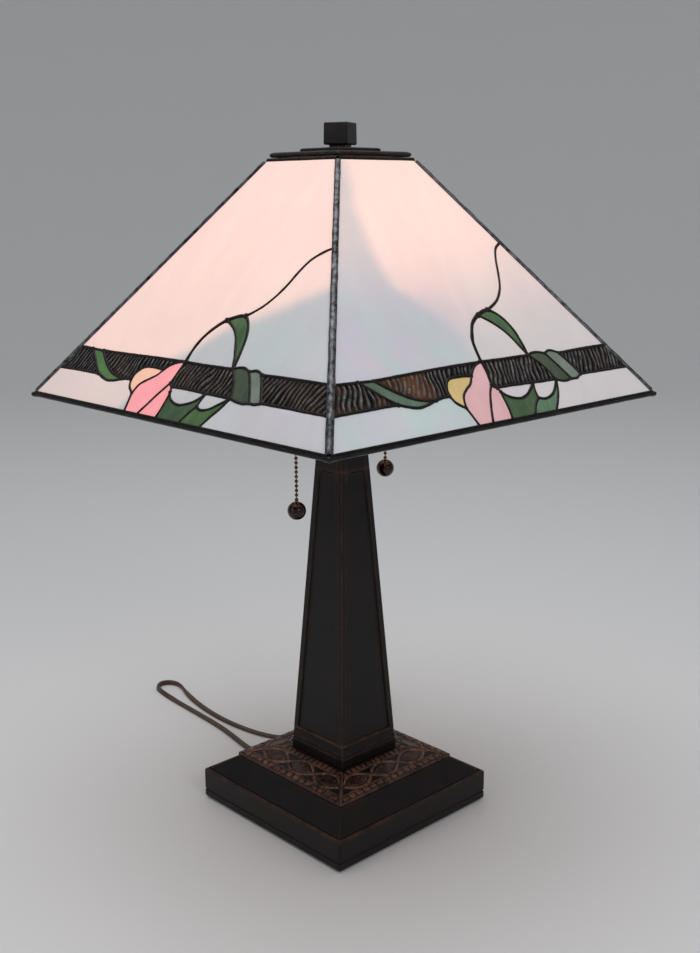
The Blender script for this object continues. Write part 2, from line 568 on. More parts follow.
# lines of the leaded picture, (along, down the slant) in mm; the first list is the left-hand panel's, the second the front one's.
# Each was cut by hand, so the two differ a little; the other two panels fall between them.
LINES = {
    "stem": ([(87.4, 79.5), (80, 82.5), (70, 90), (64, 100), (59, 112), (53, 122), (46, 130), (38, 136), (33, 138.8)],
             [(88.9, 80.5), (84, 83), (78, 87), (71.5, 97), (66, 109), (59.5, 121), (51, 130), (43, 135), (33, 139.2)]),
    "loop_a": ([(33, 138.8), (25, 140), (15, 144)], [(33, 139.2), (26.3, 140.3), (19, 143)]),
    "loop_b": ([(15, 144), (9, 148.5), (3, 154.5), (-2, 162), (-5, 171), (-6, 181.2)],
               [(19, 143), (14, 145.5), (8, 150), (3, 157), (-1.0, 165), (-3, 180.4)]),
    "leaf_in": ([(15, 144), (24, 148), (32, 154), (38, 162), (43, 170), (48.6, 181)],
                [(19, 143), (28, 149), (36, 156), (42, 164), (46, 172), (50, 180.6)]),
    "loop_r": ([(33, 138.8), (39.5, 144.5), (44, 152), (46.5, 160), (48.2, 170), (49.4, 181)],
               [(33, 139.2), (40.5, 144), (46, 151), (49.5, 160), (50.5, 170), (50.4, 180.6)]),
    "t1": ([(-146.2, 181.6), (-138, 181.8), (-129, 182)], [(-146.2, 181.8), (-136, 182.2), (-126, 182.5)]),
    "t2": ([(-129, 182), (-121, 182.4), (-114, 182.5)], [(-126, 182.5), (-119, 182.8), (-112, 183)]),
    "t3": ([(-114, 182.5), (-80, 182.2), (-40, 181.4), (-6, 181.2)], [(-112, 183), (-80, 181.9), (-40, 180.8), (-3, 180.4)]),
    "t4": ([(-6, 181.2), (14, 181.4), (34, 181.2), (49, 181)], [(-3, 180.4), (16, 180.6), (34, 180.6), (50.2, 180.6)]),
    "t5": ([(49, 181), (54, 179.4), (60, 179), (67, 181.2)], [(50.2, 180.6), (56, 179.2), (63, 179.3), (70, 181.2)]),
    "t6": ([(67, 181.2), (73, 179.7), (77, 180.3), (81, 182.2)], [(70, 181.2), (76, 179.2), (82, 180.5), (86, 182.5)]),
    "t7": ([(81, 182.2), (100, 181.6), (124, 181.4), (146.2, 181.4)], [(86, 182.5), (104, 181.8), (126, 181.4), (146.6, 181.4)]),
    "leaf_a": ([(-129, 182), (-120, 189), (-111, 196.6), (-103, 202.4)], [(-126, 182.5), (-118, 189), (-110, 196), (-101, 202.6)]),
    "leaf_b": ([(-103, 202.4), (-93, 205.5), (-86, 206.5), (-78, 205.5), (-68, 203)],
               [(-101, 202.6), (-94, 205), (-86, 207), (-78, 206.8), (-66, 204)]),
    "leaf_u": ([(-114, 182.5), (-107, 188), (-100, 193), (-92, 197.5), (-82, 201), (-68, 203)],
               [(-112, 183), (-105, 188.5), (-97, 194), (-88, 199), (-78, 202.5), (-66, 204)]),
    "b0": ([(-158.8, 202.6), (-140, 202.4), (-120, 202.3), (-103, 202.4)], [(-158.9, 203), (-140, 202.8), (-120, 202.6), (-101, 202.6)]),
    "b1": ([(-68, 203), (-64, 202.6), (-58, 202.2)], [(-66, 204), (-58, 203), (-51, 202.6)]),
    "a_top": ([(-58, 202.2), (-56.5, 196.5), (-50, 190.8), (-40, 189.3), (-26, 190)],
              [(-51, 202.6), (-50, 197), (-45, 190.6), (-36, 189.2), (-20, 190)]),
    "a_right": ([(-26, 190), (-30, 195), (-38, 200), (-45, 205), (-48.5, 213)], [(-20, 190), (-25, 196), (-32, 200), (-38, 205), (-41, 213.5)]),
    "a_low": ([(-58, 202.2), (-55.5, 208), (-48.5, 213)], [(-51, 202.6), (-48, 208.5), (-41, 213.5)]),
    "b_low": ([(-48.5, 213), (-47.2, 220), (-46, 227.4)], [(-41, 213.5), (-39, 220), (-37, 227.4)]),
    "b_top": ([(-26, 190), (-20, 185.2), (-13, 182.4), (-6, 181.2)], [(-20, 190), (-14, 184.6), (-9, 181.9), (-3, 180.4)]),
    "b_right": ([(-6, 181.2), (-8, 190), (-10, 199.5)], [(-3, 180.4), (-3, 190), (-4.8, 199.5)]),
    "b_right2": ([(-10, 199.5), (-14, 205), (-19, 212), (-24, 220), (-29, 227.4)], [(-4.8, 199.5), (-9, 204), (-13, 210), (-18, 219), (-22, 227.4)]),
    "k8": ([(-10, 199.5), (-8.5, 201), (-6.0, 202.2)], [(-4.8, 199.5), (-3.5, 201.2), (-1.0, 202.4)]),
    "k8_10": ([(-6.0, 202.2), (-5.6, 204.4), (-5.0, 206.5)], [(-1.0, 202.4), (0.2, 204.2), (1.0, 206)]),
    "k10_7": ([(-5.0, 206.5), (-4.5, 213), (-5, 220), (-6, 227.4)], [(1.0, 206), (0.7, 213), (0.4, 220), (-1, 227.4)]),
    "arc1": ([(-5.0, 206.5), (0, 212), (10, 215), (20, 213), (28, 209), (35, 202.6)], [(1.0, 206), (8, 211), (18, 213.5), (27, 211.5), (34, 207.5), (40, 203)]),
    "h_l": ([(35, 202.6), (33.2, 208), (32, 213.5)], [(40, 203), (37.8, 209), (37, 215.5)]),
    "arc2": ([(32, 213.5), (38, 215.5), (46, 213.5), (54, 208.6), (62, 203)], [(37, 215.5), (45, 217.2), (55, 214.5), (62, 209), (67, 203.6)]),
    "sep": ([(32, 213.5), (27.5, 219), (22, 227.4)], [(37, 215.5), (30.5, 220.5), (25, 227.4)]),
    "s2r": ([(62, 203), (57.5, 211), (51.5, 219), (46, 227.4)], [(67, 203.6), (63, 212), (57, 220), (50, 227.4)]),
    "b2": ([(-6.0, 202.2), (8, 202), (22, 202.2), (35, 202.6)], [(-1.0, 202.4), (12, 202.2), (26, 202.6), (40, 203)]),
    "b3": ([(35, 202.6), (48, 202.8), (62, 203)], [(40, 203), (54, 203.3), (67, 203.6)]),
    "w_l": ([(49, 181), (55, 188), (59.5, 196), (62, 203)], [(50.2, 180.6), (58, 188), (64, 196.5), (67, 203.6)]),
    "w_m": ([(67, 181.2), (72, 187.6), (77.5, 195.5), (83, 204)], [(70, 181.2), (76, 190), (81.5, 198.5), (85, 205)]),
    "w_r": ([(81, 182.2), (86, 190), (90.5, 196.8), (94, 202.4)], [(86, 182.5), (91.5, 190.6), (95.5, 197), (98, 202.6)]),
    "b4": ([(62, 203), (70, 204.6), (77, 205), (83, 204)], [(67, 203.6), (73, 205.6), (79, 206), (85, 205)]),
    "b5": ([(83, 204), (89, 204), (94, 202.4)], [(85, 205), (92, 205.4), (98, 202.6)]),
    "b6": ([(94, 202.4), (115, 202.4), (136, 202.6), (158.8, 202.6)], [(98, 202.6), (118, 202.8), (138, 202.8), (158.9, 203)]),
}
WIDTH = {"stem": 1.9, "loop_a": 2.9, "loop_b": 2.7, "leaf_in": 2.0, "loop_r": 2.2, "leaf_u": 1.9, "leaf_b": 2.0, "a_top": 2.0, "a_right": 1.7,
         "b_right": 2.0, "b_right2": 1.9, "arc1": 2.0, "arc2": 2.0, "h_l": 1.6, "sep": 1.8, "s2r": 2.0, "w_l": 2.0, "w_m": 1.8, "w_r": 2.0}
SPAN = 10


def dense(points, n=SPAN * 4):
    """Smooth line through the points, evenly divided into n steps."""
    fine = np.array(smooth_path(points, 14))
    seg = np.linalg.norm(np.diff(fine, axis=0), axis=1)
    run = np.concatenate(([0], np.cumsum(seg)))
    t = np.linspace(0, run[-1], n + 1)
    return np.stack([np.interp(t, run, fine[:, i]) for i in range(2)], 1)


def panel_lines(t):
    return {k: (1 - t) * dense(a) + t * dense(b) for k, (a, b) in LINES.items()}


# name: (lines in order, a minus sign reverses; "hip_l"/"hip_r"/"top"/"low" close along the panel's edges), glass, node part
REGIONS = {
    "field": (["t3_", "-loop_b", "-loop_a", "-stem", "up_r"], "white", "field"),
    "side": (["stem", "loop_r", "t5", "t6", "t7", "side_r"], "white", "side"),
    "loop": (["loop_b", "t4", "-leaf_in"], "white", "loop"),
    "loop_leaf": (["leaf_in", "-loop_r", "loop_a"], "moss", "loop"),
    "band_1": (["t1", "leaf_a", "-b0", "hip_band_l"], "band", "band"),
    "leaf": (["t2", "leaf_u", "-leaf_b", "-leaf_a"], "leaf", "band"),
    "band_2": (["t3", "-b_top", "-a_top", "-b1", "-leaf_u"], "band", "band"),
    "petal_1": (["a_top", "a_right", "-a_low"], "petal_1", "border"),
    "petal_2": (["b_top", "b_right", "b_right2", "low_b", "-b_low", "-a_right"], "petal_2", "border"),
    "petal_3": (["k8", "k8_10", "k10_7", "low_c", "-b_right2"], "petal_3", "border"),
    "band_3": (["t4", "w_l", "-b3", "-b2", "-k8", "-b_right"], "band", "band"),
    "wrap_1": (["t5", "w_m", "-b4", "-w_l"], "olive", "band"),
    "wrap_2": (["t6", "w_r", "-b5", "-w_m"], "sage", "band"),
    "band_4": (["t7", "hip_band_r", "-b6", "-w_r"], "band", "band"),
    "moon_1": (["b2", "-arc1", "-k8_10"], "white", "border"),
    "moon_2": (["b3", "-arc2", "-h_l"], "white", "border"),
    "sepal_1": (["arc1", "h_l", "sep", "low_s1", "-k10_7"], "leaf2", "border"),
    "sepal_2": (["arc2", "s2r", "low_s2", "-sep"], "mint", "border"),
    "border_1": (["b0", "leaf_b", "b1", "a_low", "b_low", "low_1"], "white", "border"),
    "border_2": (["b4", "b5", "b6", "low_2", "-s2r"], "white", "border"),
}


def edge(kind, L):
    """Stretches along the panel's own edges."""
    def hip_line(sgn, da, db, n=24):
        return [(sgn * (half_at(d) - HIP), d) for d in np.linspace(da, db, n)]

    if kind == "up_r":
        d = L["stem"][0][1]
        return (hip_line(1, d, D0) + [(s, D0) for s in np.linspace(half_at(D0) - HIP, -(half_at(D0) - HIP), 12)][1:-1]
                + hip_line(-1, D0, L["t1"][0][1], 40))
    if kind == "side_r":
        return hip_line(1, L["t7"][-1][1], L["stem"][0][1])
    if kind == "hip_band_l":
        return hip_line(-1, L["b0"][0][1], L["t1"][0][1], 8)
    if kind == "hip_band_r":
        return hip_line(1, L["t7"][-1][1], L["b6"][-1][1], 8)
    lo = lambda a, b: [(s, D1) for s in np.linspace(a, b, max(3, int(abs(b - a) / 4)))]
    if kind == "low_b":
        return lo(L["b_right2"][-1][0], L["b_low"][-1][0])
    if kind == "low_c":
        return lo(L["k10_7"][-1][0], L["b_right2"][-1][0])
    if kind == "low_s1":
        return lo(L["sep"][-1][0], L["k10_7"][-1][0])
    if kind == "low_s2":
        return lo(L["s2r"][-1][0], L["sep"][-1][0])
    if kind == "low_1":
        return lo(L["b_low"][-1][0], -(half_at(D1) - HIP)) + hip_line(-1, D1, L["b0"][0][1], 8)[1:]
    if kind == "low_2":
        return hip_line(1, L["b6"][-1][1], D1, 8) + lo(half_at(D1) - HIP, L["s2r"][-1][0])[1:]
    raise KeyError(kind)


def outline(names, L):
    pts = []
    for n in names:
        if n == "t3_":
            run = list(L["t1"]) + list(L["t2"][1:]) + list(L["t3"][1:])
        elif n.startswith("-"):
            run = list(L[n[1:]])[::-1]
        elif n in L:
            run = list(L[n])
        else:
            run = edge(n, L)
        for p in run:
            p = (float(p[0]), float(p[1]))
            lim = half_at(p[1]) - HIP
            p = (max(-lim, min(lim, p[0])), p[1])
            if not pts or math.hypot(p[0] - pts[-1][0], p[1] - pts[-1][1]) > 0.35:
                pts.append(p)
    while math.hypot(pts[0][0] - pts[-1][0], pts[0][1] - pts[-1][1]) < 0.35:
        pts.pop()
    return pts


def inset(pts, t):
    n = len(pts)
    area = sum(pts[i][0] * pts[(i + 1) % n][1] - pts[(i + 1) % n][0] * pts[i][1] for i in range(n)) / 2
    sgn = 1 if area > 0 else -1
    out = []
    for i in range(n):
        p0, p, p1 = Vector(pts[i - 1]), Vector(pts[i]), Vector(pts[(i + 1) % n])
        a, b = (p - p0).normalized(), (p1 - p).normalized()
        na, nb = Vector((-a.y, a.x)) * sgn, Vector((-b.y, b.x)) * sgn
        mm = (na + nb)
        if mm.length < 1e-4:
            out.append((p.x, p.y))
            continue
        mm.normalize()
        q = p + mm * (t / max(mm.dot(na), 0.5))
        out.append((q.x, q.y))
    # drop points that ran backwards at a tight corner
    good = []
    for i, q in enumerate(out):
        e0 = Vector(pts[(i + 1) % n]) - Vector(pts[i - 1])
        e1 = Vector(out[(i + 1) % n]) - Vector(out[i - 1])
        if e0.dot(e1) > 0:
            good.append(q)
    return good if len(good) > 5 else out


def inside(pts, xs, ys):
    """Which of the points lie in the outline."""
    res = np.zeros(len(xs), bool)
    n = len(pts)
    for i in range(n):
        x0, y0 = pts[i]
        x1, y1 = pts[(i + 1) % n]
        if y0 == y1:
            continue
        cross = ((ys < y0) != (ys < y1)) & (xs < (x1 - x0) * (ys - y0) / (y1 - y0) + x0)
        res ^= cross
    return res


def clear_of(pts, xs, ys, gap):
    P = np.array(pts)
    keep = np.ones(len(xs), bool)
    for i in range(len(P)):
        a, b = P[i], P[(i + 1) % len(P)]
        ab = b - a
        L2 = ab @ ab + 1e-12
        t = np.clip(((xs - a[0]) * ab[0] + (ys - a[1]) * ab[1]) / L2, 0, 1)
        keep &= np.hypot(xs - a[0] - t * ab[0], ys - a[1] - t * ab[1]) > gap
    return keep


def border_distance(pts, xs, ys):
    P = np.array(pts)
    best = np.full(len(xs), 1e9)
    for i in range(len(P)):
        a, b = P[i], P[(i + 1) % len(P)]
        ab = b - a
        L2 = ab @ ab + 1e-12
        t = np.clip(((xs - a[0]) * ab[0] + (ys - a[1]) * ab[1]) / L2, 0, 1)
        best = np.minimum(best, np.hypot(xs - a[0] - t * ab[0], ys - a[1] - t * ab[1]))
    return best


def sstep(a, b, x):
    t = np.clip((x - a) / (b - a), 0, 1)
    return t * t * (3 - 2 * t)


def glow_at(t, s, d):
    """How much of the lamp's warm light reaches a spot of the panel (0 none, 1 full)."""
    # left-hand panel: lit above a soft edge that climbs towards the near corner
    edge_d = np.interp(s, [-60, -30, 0, 20, 40, 60, 85, 110, 150], [236, 186, 167, 151, 143, 134, 121, 108, 92])
    left = sstep(9, -10, d - edge_d) * (1 - 0.07 * sstep(0, 90, s)) * (1 - 0.12 * sstep(80, 180, d))
    left = left * (1 - 0.48 * sstep(196, 208, d))
    # front panel: lit from the middle outwards, fading down, with a dim strip beside the near corner
    edge_s = np.interp(d, [0, 30, 45, 95, 115, 140, 160], [-34, -40, -50, -54, -50, -24, -10])
    strip = 0.36 * sstep(150, 60, d)
    lit = strip + (1 - strip) * sstep(-9, 9, s - edge_s)
    fall = 1.06 - 0.84 * sstep(62, 172, d)
    right = lit * fall * (1 - sstep(10, -50, s) * sstep(110, 150, d)) * (1 - 0.22 * sstep(30, 90, s) * sstep(60, 100, d))
    right = right * (1 - 0.4 * sstep(196, 208, d))
    return np.clip((1 - t) * left + t * right, 0, 1.1)


def pearl_at(t, s, d):
    """Where the pearly coating catches the sky: low and towards the near corner."""
    left = sstep(-20, 90, s) * sstep(90, 170, d)
    right = sstep(90, -60, s) * sstep(70, 160, d)
    return np.clip(0.15 + (1 - t) * 0.5 * left + t * right, 0, 1)


def glass_piece(name, pts, mat, k, t, node, kind, seed):
    pts = inset(pts, 0.28)
    xs0, ys0 = [p[0] for p in pts], [p[1] for p in pts]
    lo, hi = (min(xs0), min(ys0)), (max(xs0), max(ys0))
    area = (hi[0] - lo[0]) * (hi[1] - lo[1])
    if kind == "band":
        dx, dy = ((0.55, 1.8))
    elif area > 9000:
        dx = dy = 4.5
    else:
        dx = dy = 1.6
    gx, gy = np.meshgrid(np.arange(lo[0] + dx / 2, hi[0], dx), np.arange(lo[1] + dy / 2, hi[1], dy))
    gx = gx + (np.arange(gx.shape[0]) % 2)[:, None] * dx * 0.5
    gx, gy = gx.ravel(), gy.ravel()
    ok = inside(pts, gx, gy)
    gx, gy = gx[ok], gy[ok]
    ok = clear_of(pts, gx, gy, min(dx, dy) * 0.55)
    gx, gy = gx[ok], gy[ok]
    n = len(pts)
    co = [Vector(p) for p in pts] + [Vector(p) for p in zip(gx.tolist(), gy.tolist())]
    v2, _, f2, _, _, _ = geometry.delaunay_2d_cdt(co, [(i, (i + 1) % n) for i in range(n)], [], 1, 1e-4)
    V = np.array([(v.x, v.y) for v in v2])
    F = [tuple(f) for f in f2]
    dist = border_distance(pts, V[:, 0], V[:, 1])
    top = np.zeros(len(V))
    soft = np.clip(dist / 2.2, 0, 1)
    soft = soft * soft * (3 - 2 * soft)
    amber, rib = np.zeros(len(V)), np.zeros(len(V))
    if kind == "band":
        # drawn ribs, leaning and wandering a little
        wob = np.array([noise.noise(Vector((x * 0.035 + seed, y * 0.06, 1.7))) for x, y in V])
        wob2 = np.array([noise.noise(Vector((x * 0.11, y * 0.10 + seed, 5.1))) for x, y in V])
        phase = (V[:, 0] + 0.38 * V[:, 1] + 4.2 * wob + 1.8 * wob2) / 4.4
        wave = np.sin(tau * phase)
        high = np.sign(wave) * np.abs(wave) ** 0.85
        drop = np.array([noise.noise(Vector((x * 0.30 + seed, y * 0.16, 9.3))) for x, y in V])
        top = soft * (0.12 + 0.70 * high * (0.80 + 0.55 * drop))
        rib = sstep(0.15, 0.95, wave * (0.85 + 0.5 * drop)) * soft
        far = 0.10 + 0.80 * sstep(-10, -85, V[:, 0]) if t > 0.5 else 0.20 + 0 * V[:, 0]
        amber = np.clip(0.62 - 0.45 * wave, 0, 1) * far
    else:
        rip = np.array([noise.noise(Vector((x * 0.020 + seed, y * 0.020, 0.3))) for x, y in V])
        rip2 = np.array([noise.noise(Vector((x * 0.075 + seed, y * 0.075, 2.3))) for x, y in V])
        top = soft * (0.10 + 0.30 * rip + 0.10 * rip2)
    # face directions as seen from outside: y is up the slant, so the outline flips
    N = len(V)
    up3 = [(x, -y, z) for (x, y), z in zip(V.tolist(), top.tolist())]
    dn3 = [(x, -y, -3.0 + 0.12 * q) for (x, y), q in zip(V.tolist(), soft.tolist())]
    faces = []
    for f in F:
        a, b, c = (V[f[0]], V[f[1]], V[f[2]]) if len(f) >= 3 else (None,) * 3
        ccw = (b[0] - a[0]) * (c[1] - a[1]) - (b[1] - a[1]) * (c[0] - a[0]) > 0
        g = f[::-1] if ccw else f  # after the flip in y
        faces.append(tuple(g))
        faces.append(tuple(i + N for i in g[::-1]))
    used = {}
    for f in faces[::2]:
        for i in range(len(f)):
            e = (f[i], f[(i + 1) % len(f)])
            used[e] = used.get(e, 0) + 1
    for (a, b) in list(used):
        if (b, a) not in used:
            faces.append((b, a, a + N, b + N))
    s_, d_ = np.concatenate([V[:, 0]] * 2), np.concatenate([V[:, 1]] * 2)
    glow = glow_at(t, s_, d_)
    if name.startswith("petal"):
        glow = np.full(len(s_), 0.90 - 0.42 * t)
    attrs = {"glow": glow, "pearl": pearl_at(t, s_, d_), "amber": np.concatenate([amber] * 2), "rib": np.concatenate([rib] * 2)}
    ob = make(name, up3 + dn3, faces, mat, "shade", panel_matrix(k), attrs=attrs, node=node, sharp=50)
    return ob


def came(L, k, side):
    """The panel's leading: a rounded flange over and under the glass with a thin web between, and a drop of solder at each joint."""
    verts, faces = [], []
    joints = {}
    rng = 0
    for name, pts in L.items():
        w = WIDTH.get(name, 1.9) * 0.59
        P = np.array(pts)
        if name in ("stem", "t1", "b0", "t7", "b6"):  # run on under the hip bead
            i, sgn = (0, 1) if name == "stem" else ((0, -1) if name in ("t1", "b0") else (-1, 1))
            ext = np.array([sgn * (half_at(P[i][1]) - 0.8), P[i][1]])
            P = np.vstack([ext, P]) if i == 0 else np.vstack([P, ext])
        n = len(P)
        sec = [(-w, 0.02), (-w * 0.94, 0.26), (-w * 0.66, 0.52), (-w * 0.30, 0.66), (0, 0.70), (w * 0.30, 0.66), (w * 0.66, 0.52), (w * 0.94, 0.26),
               (w, 0.02), (0.2, 0.02), (0.2, -3.02), (w, -3.02), (w * 0.7, -3.5), (0, -3.7), (-w * 0.7, -3.5), (-w, -3.02), (-0.2, -3.02), (-0.2, 0.02)]
        b0 = len(verts)
        for i in range(n):
            tg = P[min(i + 1, n - 1)] - P[max(i - 1, 0)]
            tg = tg / (np.linalg.norm(tg) + 1e-9)
            nx = np.array([-tg[1], tg[0]])
            q = noise.noise(Vector((P[i][0] * 0.16, P[i][1] * 0.16, 3.0 + k)))
            q2 = noise.noise(Vector((P[i][0] * 0.05, P[i][1] * 0.05, 8.0 + k)))
            fat = 1.0 + 0.16 * q + 0.10 * q2
            # swell a little where lines meet
            e = min(i, n - 1 - i)
            fat += 0.20 * max(0.0, 1 - e / 4.0)
            for a, z in sec:
                if abs(a) > 0.25 or z > 0.5 or z < -3.2:
                    x, y = P[i] + nx * a * fat
                    zz = z * (1 + 0.22 * q) if z > 0.1 else z
                else:
                    x, y = P[i] + nx * a
                    zz = z
                verts.append((x, -y, zz))
        m = len(sec)
        for i in range(n - 1):
            for j in range(m):
                jj = (j + 1) % m
                faces.append((b0 + i * m + j, b0 + i * m + jj, b0 + (i + 1) * m + jj, b0 + (i + 1) * m + j))
        faces.append(tuple(b0 + j for j in range(m))[::-1])
        faces.append(tuple(b0 + (n - 1) * m + j for j in range(m)))
        for p in (pts[0], pts[-1]):
            if abs(p[0]) < half_at(p[1]) - 5 and p[1] < 226:
                joints[(round(float(p[0]) / 2), round(float(p[1]) / 2))] = (float(p[0]), float(p[1]), max(w, joints.get((round(float(p[0]) / 2), round(float(p[1]) / 2)), (0, 0, 0))[2]))
    # solder drops at the joints
    for x, y, w in joints.values():
        b0 = len(verts)
        R, H = w * 1.55, 0.86
        steps, rows = 14, 4
        for i in range(rows):
            ph = pi / 2 * i / rows
            for j in range(steps):
                a = tau * j / steps
                rr = R * math.cos(ph) * (1 + 0.12 * math.sin(2 * a + x) + 0.08 * math.sin(3 * a + y))
                verts.append((x + rr * math.cos(a), -y + rr * math.sin(a), 0.05 + H * math.sin(ph)))
        verts.append((x, -y, 0.05 + H))
        verts.append((x, -y, -0.1))
        for i in range(rows - 1):
            for j in range(steps):
                jj = (j + 1) % steps
                faces.append((b0 + i * steps + j, b0 + i * steps + jj, b0 + (i + 1) * steps + jj, b0 + (i + 1) * steps + j))
        for j in range(steps):
            jj = (j + 1) % steps
            faces.append((b0 + (rows - 1) * steps + j, b0 + (rows - 1) * steps + jj, b0 + rows * steps))
            faces.append((b0 + jj, b0 + j, b0 + rows * steps + 1))
    # thin border strips under the cap and over the rim
    for d, w in ((D0 + 0.6, 1.6), (D1 + 0.5, 0.8)):
        b0 = len(verts)
        h = half_at(d) - 1.2
        for i, s in enumerate(np.linspace(-h, h, 40)):
            for a, z in ((-w, 0.02), (-w * 0.6, 0.5), (0, 0.65), (w * 0.6, 0.5), (w, 0.02), (w, -3.1), (-w, -3.1)):
                verts.append((s, -(d + a), z))
        for i in range(39):
            for j in range(7):
                jj = (j + 1) % 7
                faces.append((b0 + i * 7 + j, b0 + i * 7 + jj, b0 + (i + 1) * 7 + jj, b0 + (i + 1) * 7 + j)[::-1])
        faces.append(tuple(b0 + j for j in range(7)))
        faces.append(tuple(b0 + 39 * 7 + j for j in range(7))[::-1])
    ob = make("leading_" + side + "_came", verts, faces, LEADM, "shade", panel_matrix(k), node="leading_" + side, sharp=60)
    bm = bmesh.new()
    bm.from_mesh(ob.data)
    bmesh.ops.recalc_face_normals(bm, faces=bm.faces)
    bm.to_mesh(ob.data)
    bm.free()
    return ob


SIDES = (("front", 0, 1.0), ("right", 1, 0.42), ("back", 2, 0.70), ("left", 3, 0.0))
# petals differ from panel to panel as the sheets were cut
PETALS = {"front": ("yellow", "rose", "rose"), "left": ("peach", "pink", "pink"), "right": ("pale", "pink", "rose"), "back": ("yellow", "pale", "pink")}
LEAVES = {"front": ("greyleaf", "moss", "leaf2", "mint"), "left": ("leaf", "moss", "leaf2", "leaf"), "right": ("leaf", "moss", "leaf", "mint"), "back": ("leaf2", "leaf", "moss", "sage")}
for side, k, t in SIDES:
    L = panel_lines(t)
    for i, (rname, (parts, glass, node)) in enumerate(REGIONS.items()):
        kind = "band" if glass == "band" else "glass"
        if glass.startswith("petal"):
            glass = PETALS[side][int(glass[-1]) - 1]
        if rname == "leaf":
            glass = LEAVES[side][0]
        if rname == "loop_leaf":
            glass = LEAVES[side][1]
        if rname == "sepal_1":
            glass = LEAVES[side][2]
        if rname == "sepal_2":
            glass = LEAVES[side][3]
        mat = BAND if kind == "band" else GLASS[glass]
        glass_piece("%s_%s" % (rname, side), outline(parts, L), mat, k, t, "glass_%s_%s" % (node, side), kind, 3.1 * k + 0.7 * i)
    came(L, k, side)

# hip beads: lumpy solder drawn down each corner, lapping on to both panels
lap = math.acos(math.cos(SLOPE) ** 2) / 2  # each panel falls away this much from the corner's tangent
for k, side in enumerate(("front", "right", "back", "left")):
    a = Vector((HALF_TOP, -HALF_TOP, Z_TOP))
    z = Vector((177.8, -177.8, 358.2))
    run = (z - a).normalized()
    inward = (Vector((-math.sin(SLOPE), 0, -math.cos(SLOPE))) + Vector((0, math.sin(SLOPE), -math.cos(SLOPE)))).normalized()
    sideways = run.cross(inward).normalized()
    total = 264.4 - 3.6
    verts, faces = [], []
    n = 420
    tt = math.tan(lap)
    for i in range(n + 1):
        u = i / n
        p = a + run * (3.6 + total * u)
        w0 = 2.55 + 0.75 * u
        row = []
        for j in range(17):
            g = -1 + j / 8
            q = noise.noise(Vector((u * 30 + k * 9, g * 0.9, 4.0)))
            q2 = noise.noise(Vector((u * 88 + k * 5, g * 1.6, 7.0)))
            q3 = noise.noise(Vector((u * 26 + k * 3, 3.0 if g > 0 else -3.0, 1.0)))
            x = g * (w0 + 0.35 * q3)
            sx = x * math.cos(lap)
            # the corner itself rounded over
            dep = tt * (math.sqrt(sx * sx + 1.2) - 1.05)
            proud = (1.02 + 0.34 * q + 0.20 * q2) * (1 - g ** 4) ** 0.5 + 0.03
            if i in (0, n):
                proud *= 0.4
            row.append(p + sideways * (sx + math.copysign(proud * math.sin(lap) * abs(g), g)) + inward * (dep - proud * math.cos(lap * abs(g))))
        for g, dep in ((0.90, 3.3), (0.55, 4.6), (0.0, 5.3), (-0.55, 4.6), (-0.90, 3.3)):
            x = g * w0 * math.cos(lap)
            row.append(p + sideways * x + inward * (tt * abs(x) + dep))
        verts += [tuple(v) for v in row]
    m = 22
    for i in range(n):
        for j in range(m):
            jj = (j + 1) % m
            faces.append((i * m + j, i * m + jj, (i + 1) * m + jj, (i + 1) * m + j))
    faces.append(tuple(range(m))[::-1])
    faces.append(tuple(n * m + j for j in range(m)))
    ob = make("hip_bead_" + side, verts, faces, SOLDER, "shade", Matrix.Rotation(pi / 2 * k, 4, "Z"), node="hip_seam_" + side, sharp=80)
    bm = bmesh.new()
    bm.from_mesh(ob.data)
    bmesh.ops.recalc_face_normals(bm, faces=bm.faces)
    bm.to_mesh(ob.data)
    bm.free()

# bottom rim: a rounded channel with its corners soldered
rim_c = (177.8 - 1.5 * math.sin(SLOPE), 358.2 - 1.5 * math.cos(SLOPE))
verts, faces = [], []
m, per = 14, (150)
cols = per * 4
for j in range(m):
    ang = -tau * j / m
    for c in range(4):
        q = pi / 2 * c
        for i in range(per):
            s = -1 + 2 * i / per
            lump = 1 + 0.05 * noise.noise(Vector((s * 22 + c * 7, j * 0.3, 0.5)))
            near = max(0.0, 1 - (1 - abs(s)) * 177 / 7.0)
            lump += 0.35 * near * near * (3 - 2 * near)
            rr = 1.62 * lump
            h = rim_c[0] + rr * math.cos(ang)
            x, y = s * h, -h
            # rounded corner
            verts.append((x * math.cos(q) - y * math.sin(q), x * math.sin(q) + y * math.cos(q), rim_c[1] + rr * math.sin(ang)))
for j in range(m):
    jj = (j + 1) % m
    for i in range(cols):
        ii = (i + 1) % cols
        faces.append((j * cols + i, j * cols + ii, jj * cols + ii, jj * cols + i))
make("rim_channel", verts, faces, RIMM, "shade", node="bottom_rim", sharp=60)

